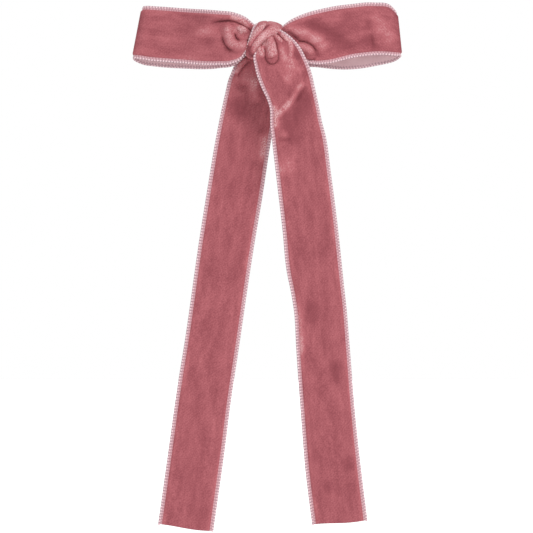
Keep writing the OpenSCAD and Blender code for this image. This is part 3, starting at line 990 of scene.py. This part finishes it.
RIGHT_LOOP = Ribbon(
    "right_loop_ribbon",
    (
        Station((2.5, -17, -3), (3, -17, 4)),
        Station((9, -19, -6), (6.2, -18.4, 4.9)),
        Station((14.5, -18.8, -9.8), (11.7, -18.6, 8.8)),
        Station((20.7, -17.4, -12.2), (18.5, -17.8, 11.8)),
        Station((28, -15, -12.2), (28, -15, 14.4)),
        Station((42.8, -9.2, -8.7), (40, -9.9, 16.5)),
        Station((55, -7, -7.6), (51, -7.4, 17.4)),
        Station((61.2, -6.4, -8), (58.4, -6.8, 16.4)),
        Station((63.9, -4.1, -8.2), (61.7, -4.4, 12.6), folded=0.5),
        Station((62.2, -1.9, -9.8), (60, -2.1, 11), folded=0),
        Station((51.6, -2.3, -12.7), (51.6, -2.3, 11), folded=0),
        Station((40, -2.9, -14.3), (40, -2.9, 10), folded=0),
        Station((25, -7.2, -13.6), (25, -7.2, 10.6), folded=0),
        Station((16, -8.8, -12.2), (16, -8.8, 9.5), folded=0),
        Station((9.5, -10.2, -7.5), (9.5, -9.8, 7), folded=0),
        Station((3, -11.5, -4), (3, -11.5, 4), folded=0),
    ),
    (
        # the thumb of cloth pushed out beside the knot, painted light, with a sharp crease of
        # painted shade over it
        Fold(((13, -3.9), (17, -4.2), (20.2, -6), (21.2, -8.8)), 2.4, 2.4, steep=0.5,
             painted_light=0.2, fade=2.5),
        Fold(((14, -1.9), (17.8, -2), (21.3, -3.7), (23.3, -6.6)), -1.6, 0.8, painted_light=-0.5,
             fade=1.5),
        Fold(((22.4, -5.2), (23.7, -7.6), (23.2, -9.8)), -0.5, 1.1, painted_light=-0.2, fade=1.5),
        Fold(((18.2, -9.8), (21, -10.4), (23.4, -9.4)), -0.9, 0.9, painted_light=-0.2, fade=1.5),
        # the long ridge from the knot down to the lower selvedge, painted light, with painted shade
        # beyond
        Fold(((7, 5), (12.5, 3.4), (19, 1.8), (24.8, -1.6), (28.6, -6.6)), 1.3, 2.6,
             painted_light=0.22, fade=4),
        Fold(((16, 7.4), (24.4, 5), (31.6, 0.8), (38, -3.6), (45, -5)), -1.4, 3.2,
             painted_light=-0.19, fade=6),
        Fold(((24, 8.6), (30, 9.6), (37, 11)), 0.3, 2.6, painted_light=0.03, fade=4),
        # painted shade along the loop's turned end and its top corner
        Fold(((62.6, 12), (63.4, 2), (64.4, -8)), 0, 1.3, painted_light=-0.2, fade=3),
        Fold(((57, 16.4), (60.4, 14.4), (62, 9)), 0, 1.2, painted_light=-0.3, fade=2),
        # soft waves and creases of the flat, with painted light and painted shade along them
        Fold(((44, 2.6), (49.5, -2), (56, -6.6)), -0.2, 4, painted_light=-0.12, fade=5),
        Fold(((49, 14), (54.6, 7), (60.4, -4)), 0.2, 3, painted_light=0.18, fade=5),
        Fold(((9, 3.6), (12.4, 1.2), (15, -1.4)), -0.9, 1.3, painted_light=-0.22, fade=1.5),
        Fold(((30, 9.5), (38, 6), (45, 1)), 0.9, 4, painted_light=-0.06, fade=7),
        Fold(((47.8, 11), (48, 8), (48.4, 3)), -0.4, 2, painted_light=-0.14, fade=3.5),
        Fold(((49.4, 3), (50.2, -2), (50.6, -6.5)), -0.5, 1, painted_light=-0.14, fade=3),
        Fold(((52.6, 8), (52.6, -5)), 0.6, 2.2, painted_light=0.1, fade=5),
    ),
    rows=300,
    columns=76,
)

KNOT = Ribbon(
    "knot_ribbon",
    (
        Station((-4.5, -9.2, 6), (5.5, -9.2, 6), (0, 0, 0.4), folded=0),
        Station((-5.2, -13, 6.6), (6.2, -13, 6), (0, 0, 0.9), folded=0),
        Station((-6, -17.5, 6), (6.9, -17, 4.8), (0, -0.6, 1.4), folded=0.1),
        Station((-6.9, -21, 4.2), (5.2, -21.2, 3.2), (0, -1.2, 0.7)),
        Station((-8, -22.2, 1), (1.7, -22.6, 0.9), (0, -1.3, 0.2)),
        Station((-9.1, -21.6, -2.6), (-2.9, -22.6, -2.5), (0, -0.9, 0)),
        Station((-9.9, -20.2, -5.2), (-5.2, -21.4, -5.6), (0, -0.5, -0.2)),
        Station((-9.8, -17, -7.4), (-6.2, -17.6, -8.2), (0, 0, -0.4), folded=0.6),
        Station((-7, -12.5, -7.6), (-3, -12.5, -8), (0, 0, -0.4), folded=0),
        Station((-6, -8.4, -5.6), (4.5, -8.4, -5.9), (0, 0.4, 0), folded=0),
        Station((-6.5, -7.8, 0), (6.5, -7.8, 0), (0, 0.2, 0), folded=0),
        Station((-5.6, -8.6, 5.2), (5.6, -8.6, 5.2), (0, 0.2, 0), folded=0),
    ),
    (
        # pleats of the wrap: painted light on the ridges, painted shade in the grooves and the gap
        # at its lower left
        Fold(((-0.3, 6.4), (-3.6, 3.8), (-6.4, 0.4), (-8.2, -3)), 0.2, 0.9, painted_light=0.22, fade=1),
        Fold(((-3.4, 6.4), (-5.8, 3.4), (-7.6, 0.2), (-9, -3.2)), -0.3, 0.5, painted_light=-0.3, fade=1),
        Fold(((1.6, 5.8), (-1.3, 3.2), (-4.6, 0.2), (-6.6, -2.4), (-7.6, -5.2)), -0.3, 0.45,
             painted_light=-0.5, fade=1.5),
        Fold(((6, 4.6), (2, 2.6), (-2.8, -0.8), (-6.2, -4.6), (-7.2, -7.4)), 0.1, 1.4,
             painted_light=0.16, fade=1),
        Fold(((-8, -3.4), (-8, -6), (-7, -9)), 0, 1.3, painted_light=-0.5, fade=1),
    ),
    rows=220,
    columns=110,
    pleats=(
        (-1, 0), (-0.84, 0.3), (-0.72, -0.25), (-0.56, 0.5), (-0.34, 0.85), (-0.17, 0.7),
        (-0.12, 0.1), (-0.06, -0.45), (0.03, 0.2), (0.12, 0.75), (0.4, 1.05), (0.78, 0.8),
        (1, -0.2), (0.84, -1.1), (0.45, -1.5), (0, -1.7), (-0.3, -1.8),
    ),
    gathered_half=6,
    rims=Rims.NEAR,
    # painted light: the knot, the bow's highest part, gets a paler base tone
    base_tone_and_light=0.68,
)

RIGHT_TAIL = Ribbon(
    "right_tail_ribbon",
    (
        Station((-4, -19.5, -3.2), (3.2, -19.3, 5.8)),
        Station((-5.4, -21.6, -6.6), (7.4, -21.4, 3.2)),
        Station((-6.4, -22.4, -9.4), (11.3, -22, 0.3)),
        Station((-5.9, -22.8, -13.2), (15.2, -22, -3.8), (0, -0.5, 0)),
        Station((-4.9, -22.8, -17.6), (18.1, -21.8, -9), (0, -0.8, 0)),
        Station((-2.7, -22.4, -23.6), (20.9, -21.3, -16.2), (0, -0.9, 0)),
        Station((-0.2, -22, -28.8), (22.7, -20.9, -24), (0, -0.8, 0)),
        Station((1.4, -21.2, -34.2), (24.5, -20.6, -32.2), (0, -0.5, 0)),
        *hung(
            -20.4,
            (1.5, -41, 26, -39.6),
            (2.3, -48.2, 27.8, -46.6),
            (4.4, -66, 30.2, -63.4),
            (7.4, -91.8, 33.5, -89.2),
            (9.3, -110.6, 35.5, -108),
            (11.6, -122, 36.7, -119.4),
            (12.7, -129, 37.5, -126.4),
            (13.9, -148.2, 39.1, -145.6),
            (16.3, -181.5, 41.8, -178.7),
            (18.1, -204, 44.2, -201.2),
            (21.4, -231.3, 47.6, -228.6),
        ),
    ),
    (
        # the tongue that rolls out of the knot, painted light, with a groove of painted shade all
        # round it
        Fold(((1.2, 1), (1.6, -3), (2, -6.5), (2.3, -9.6)), 2.4, 1.7, painted_light=0.3, fade=1.6),
        Fold(((-2.9, -1.4), (-3.4, -5.6), (-2.4, -10.4)), 0, 2.4, painted_light=0.26, fade=3),
        Fold(((-0.9, -0.6), (-1.2, -4.4)), 0.2, 1.3, painted_light=0.3, fade=1),
        Fold(((-0.7, -4.8), (-0.9, -7.6), (-0.6, -10.4), (1.2, -12.6), (3.9, -12.4), (5.4, -10.2),
              (4.9, -6), (3.6, -1.6), (2.2, 0.8)), -1.7, 0.7, painted_light=-0.3, fade=2),
        # soft folds and streaks on the tail, with painted light and painted shade along them
        Fold(((6.4, -2), (7.4, -7), (7, -13)), 0.2, 2.6, painted_light=0.2, fade=4),
        Fold(((14.6, -5), (18, -13), (20.6, -21)), -0.2, 3, painted_light=-0.17, fade=5),
        Fold(((18.2, -22), (16, -31), (12.8, -38), (12, -47)), -0.3, 4.6, painted_light=-0.19,
             fade=6),
        Fold(((2.6, -31), (3.8, -36), (3.9, -44)), 0.2, 1.5, painted_light=0.3, fade=3),
        Fold(((13.4, -15.6), (10.6, -19), (8.4, -22.6)), 0, 2.4, painted_light=0.2, fade=3),
        Fold(((15.4, -12), (16, -18)), 0, 2, painted_light=0.16, fade=3),
        Fold(((5.6, -54), (10, -60), (13, -68)), 0.1, 6, painted_light=0.16, fade=8),
        Fold(((8, -46.4), (13, -48), (18, -49)), -0.2, 3.6, painted_light=-0.13, fade=4),
        Fold(((14, -124), (15.4, -138), (16.4, -152)), 0, 2.4, painted_light=0.17, fade=5),
        Fold(((38.6, -142), (40, -156), (41.2, -172)), 0, 2.4, painted_light=0.16, fade=5),
        Fold(((20, -124), (21.6, -138)), 0, 3.4, painted_light=-0.12, fade=5),
        Fold(((32.4, -152), (33.2, -166)), 0, 3, painted_light=-0.14, fade=5),
        Fold(((38.6, -196), (39.6, -207)), 0, 3, painted_light=-0.12, fade=4),
        Fold(((26.6, -208), (30.6, -217)), 0, 3, painted_light=-0.1, fade=4),
        Fold(((-3.6, -4), (-2.6, -7), (-1.9, -9.6)), 0.9, 0.9, painted_light=0.15, fade=1.5),
        Fold(((-2.9, -2.6), (-2, -3.6)), -0.9, 0.55, painted_light=-0.3, fade=0.6),
        # slit of painted shade and small pleats of painted light on the right of the knot
        Fold(((4.1, 2), (6.4, 0.3), (8, -1.4)), -1.5, 0.6, painted_light=-0.8, fade=0.8),
        Fold(((3.5, 1.2), (5.1, 0.2), (7.4, -2.2)), 0.5, 0.5, painted_light=0.42, fade=0.9),
        Fold(((6.4, 2), (8.6, 0.2), (9.8, -1.7)), 0.6, 0.6, painted_light=0.2, fade=1),
        Fold(((6.6, 2.5), (8.7, 1), (10.2, -0.7), (11.3, -3.9), (11.3, -7.4), (10.8, -9.6)),
             0.7, 0.8, painted_light=0.3, fade=2),
        Fold(((11.6, 0), (13.6, -3.4), (14.4, -8), (14, -12)), -0.3, 1.8, painted_light=-0.2,
             fade=3),
        Fold(((2.5, -1.5), (3.3, -5), (3.9, -8.4)), 0.2, 0.55, painted_light=0.25, fade=1.2),
        # painted sheen where the pile was brushed the other way
        Fold(((11.4, -7), (11.4, -12), (10.6, -17.6)), 0.1, 3, painted_light=0.27, fade=4),
        # the soft fold that crosses the tail as it turns down, painted light, with painted shade
        # below it
        Fold(((17.4, -20.4), (14.6, -24.6), (11.6, -29.6), (7.4, -34.2), (3.6, -38)), 1, 1.2,
             painted_light=0.32, fade=4),
        Fold(((18.6, -22.4), (15.2, -27.2), (12.8, -31.6)), -0.7, 1.6, painted_light=-0.22, fade=3),
        # soft streaks of painted light and painted shade across the tail
        Fold(((-3.8, -14), (-2, -21), (2.2, -30)), 0.3, 1.4, painted_light=0.04, fade=4),
        Fold(((5, -45.6), (10.5, -46.2)), 0.6, 1.1, painted_light=0.06, fade=2),
        Fold(((4, -48.6), (12, -48.4)), -0.5, 1.2, painted_light=-0.14, fade=2.5),
    ),
    rows=620,
    columns=64,
    sway=0.5,
    cut_wave=0.45,
)

LEFT_TAIL = Ribbon(
    "left_tail_ribbon",
    (
        Station((-12, -7.2, -4), (3, -8.6, -4.4)),
        Station((-14.2, -7.2, -8.8), (5.2, -8.4, -9.8)),
        Station((-16.2, -7.2, -14.2), (6.8, -8, -16.4)),
        Station((-18.3, -7.3, -19.2), (6.6, -7.8, -23)),
        Station((-19.9, -7.2, -25.8), (5.2, -7.4, -30.6)),
        *hung(
            -7,
            (-24.4, -47.4, 1.3, -52.2),
            (-28.4, -71.2, -2.2, -75.2),
            (-32.1, -94.4, -6.1, -98.2),
            (-38.9, -142, -13.2, -145.8),
            (-43.3, -169.6, -17.3, -173.4),
            (-46.3, -191, -20, -194.8),
            (-52, -231.8, -25.6, -234.6),
        ),
    ),
    (
        # the fold below the knot, painted light, beside a crease of painted shade
        Fold(((-9, -8.6), (-12.6, -12.4), (-16, -16.6)), 1.2, 1.1, painted_light=0.2, fade=2),
        Fold(((-7.8, -9.6), (-11.6, -13.6), (-14.6, -18.6)), -1.1, 1, painted_light=-0.2, fade=2.5),
        # painted light that lifts the knot's cast shade off the top of the tail; painted light and
        # shade in soft streaks below
        Fold(((-14.6, -14.6), (-10, -17.4), (-3, -21.4)), 0, 4.6, painted_light=0.18, fade=2),
        Fold(((-16.4, -26), (-14.6, -32), (-10, -39)), 0, 4.6, painted_light=-0.2, fade=5),
        Fold(((-2.4, -43), (-1, -50), (-3, -60)), 0, 3, painted_light=0.28, fade=6),
        Fold(((-5.6, -17), (-5.4, -24), (-4.6, -31)), 0.8, 1.8, painted_light=0.14, fade=4),
        Fold(((-11.8, -19), (-11, -26)), -0.9, 2.8, painted_light=-0.14, fade=4),
        Fold(((-14.5, -20), (-16, -32), (-19, -44)), 0.4, 3, painted_light=0.06, fade=6),
    ),
    rows=600,
    columns=60,
    sway=0.5,
    cut_wave=0.45,
)


@dataclass
class Bow:
    """The tied ribbon: its stretches, their edging, and the body that the fixed ones follow."""

    finishes: Finishes
    stitch_row: StitchRow

    def stretch(self, ribbon: Ribbon) -> tuple[bpy.types.Object, bpy.types.Object]:
        """Build one stretch and its edging.

        Args:
            ribbon: the stretch.

        Returns:
            The ribbon's piece and the edging's piece.
        """
        cloth = ribbon.build(self.finishes)
        edging = ribbon.edging(self.stitch_row, self.finishes)
        report(cloth)
        report(edging)
        return cloth, edging

    def fixed(self, ribbon: Ribbon, nodes: Sequence[str]) -> None:
        """Add a stretch that stays with the bow.

        Args:
            ribbon: the stretch.
            nodes: the solids that it stands for.
        """
        cloth, edging = self.stretch(ribbon)
        for piece in (cloth, edging):
            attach(piece, "bow")
        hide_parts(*nodes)

    def hanging(
        self,
        ribbon: Ribbon,
        nodes: Sequence[str],
    ) -> None:
        """Add a stretch that hangs down, kept in place where it is built, with no body to follow.

        Args:
            ribbon: the stretch.
            nodes: the solids that it stands for.
        """
        cloth, edging = self.stretch(ribbon)
        for piece in (cloth, edging):
            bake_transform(piece)
        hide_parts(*nodes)

    def build(self) -> None:
        """Build every stretch of the bow."""
        self.fixed(KNOT, ["knot_wrap", "gathered_waist"])
        self.fixed(LEFT_LOOP, ["left_loop"])
        self.fixed(RIGHT_LOOP, ["right_loop"])
        self.hanging(
            RIGHT_TAIL,
            ["right_tail", "right_tail_root"],
        )
        self.hanging(
            LEFT_TAIL,
            ["left_tail", "left_tail_root"],
        )


# ---------- clip, stage ----------


@dataclass
class Clip:
    """The steel clip: its own solids, each with its finish."""

    finishes: Finishes
    plated: tuple[str, ...] = ("base_plate", "hinge_pin", "clasp_arm", "bar_rivet", "catch_rivet")
    sprung: tuple[str, ...] = ("tension_bar", "catch_bracket", "upper_prong", "lower_prong")
    sewn: tuple[str, ...] = ("centre_stitches", "left_stitches", "right_stitches")

    def dress(self) -> None:
        """Put the finishes on the clip's solids."""
        for names, finish in (
            (self.plated, self.finishes.nickel),
            (self.sprung, self.finishes.spring),
            (self.sewn, self.finishes.sewing),
        ):
            for name in names:
                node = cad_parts[name]
                for slot in node.material_slots:
                    slot.material = finish
                report(node)


@dataclass
class Studio:
    """Pale floor, even light and the camera."""

    view_width: float = 253.2
    view_centre: Spot = (-0.24, -108.5)
    cloth_plane: float = -16.0
    distance: float = 2200.0
    sensor: float = 36.0
    floor_drop: float = 28.0
    floor_half: float = 4000.0

    def camera(self) -> None:
        """Set the camera square to the bow's front."""
        data = bpy.data.cameras.new("camera")
        data.sensor_width = self.sensor
        data.lens = self.sensor * self.distance / self.view_width
        data.clip_start, data.clip_end = 0.05, 50.0
        camera = bpy.data.objects.new("camera", data)
        x, z = self.view_centre
        camera.location = Vector((x, self.cloth_plane - self.distance, z)) * MM
        camera.rotation_euler = (math.pi / 2, 0.0, 0.0)
        bpy.context.scene.collection.objects.link(camera)
        bpy.context.scene.camera = camera

    def floor(self) -> None:
        """Lay a plain pale floor under the tails."""
        low = CAD_BOUNDS[0].z - self.floor_drop * MM
        half = self.floor_half * MM
        mesh = bpy.data.meshes.new("floor")
        corners = [(-half, -half, low), (half, -half, low), (half, half, low), (-half, half, low)]
        mesh.from_pydata(corners, [], [(0, 1, 2, 3)])
        material, _ = fresh_material("pale_floor")
        glow = {"Emission Color": linear("#ffffff"), "Emission Strength": 0.3}
        shade(material, {"Base Color": linear("#f7f7f7"), "Roughness": 0.9, **glow})
        mesh.materials.append(material)
        floor = bpy.data.objects.new("floor", mesh)
        bpy.context.scene.collection.objects.link(floor)

    def light(self) -> None:
        """Light the bow evenly, a little more from the upper right."""
        world = bpy.data.worlds.new("studio")
        world.use_nodes = True
        world.node_tree.nodes.clear()
        tree, white = world.node_tree, linear("#ffffff")
        sky, shown = (
            add(tree, "ShaderNodeBackground", {"Color": white, "Strength": strength}).outputs[0]
            for strength in (0.5, 1.0)
        )
        ray = add(tree, "ShaderNodeLightPath").outputs["Is Camera Ray"]
        both = add(tree, "ShaderNodeMixShader", {0: ray, 1: sky, 2: shown}).outputs[0]
        add(tree, "ShaderNodeOutputWorld", {"Surface": both})
        bpy.context.scene.world = world
        for name, strength, spread, toward in (
            ("key", 1.9, 28.0, (0.45, -0.8, 0.85)),
            ("fill", 0.5, 60.0, (-0.4, -1.0, -0.3)),
            ("rim", 0.9, 40.0, (-0.2, 0.9, 0.7)),
        ):
            data = bpy.data.lights.new(name, "SUN")
            data.energy = strength
            data.angle = math.radians(spread)
            lamp = bpy.data.objects.new(name, data)
            lamp.rotation_mode = "QUATERNION"
            lamp.rotation_quaternion = Vector(toward).to_track_quat("Z", "Y")
            bpy.context.scene.collection.objects.link(lamp)

    def build(self) -> None:
        """Set up the whole studio."""
        bpy.context.scene.view_settings.view_transform = "Standard"
        self.camera()
        self.floor()
        self.light()


def report(piece: bpy.types.Object) -> None:
    """Log one piece and its face count."""
    LOG.info("%s: %d faces", piece.name, len(piece.data.polygons))


def main() -> None:
    """Build the studio, the clip and the bow."""
    logging.basicConfig(level=logging.INFO, format="%(name)s %(message)s")
    Studio().build()
    finishes = Finishes()
    Clip(finishes).dress()
    Bow(finishes, StitchRow()).build()


if __name__ == "__main__":
    main()
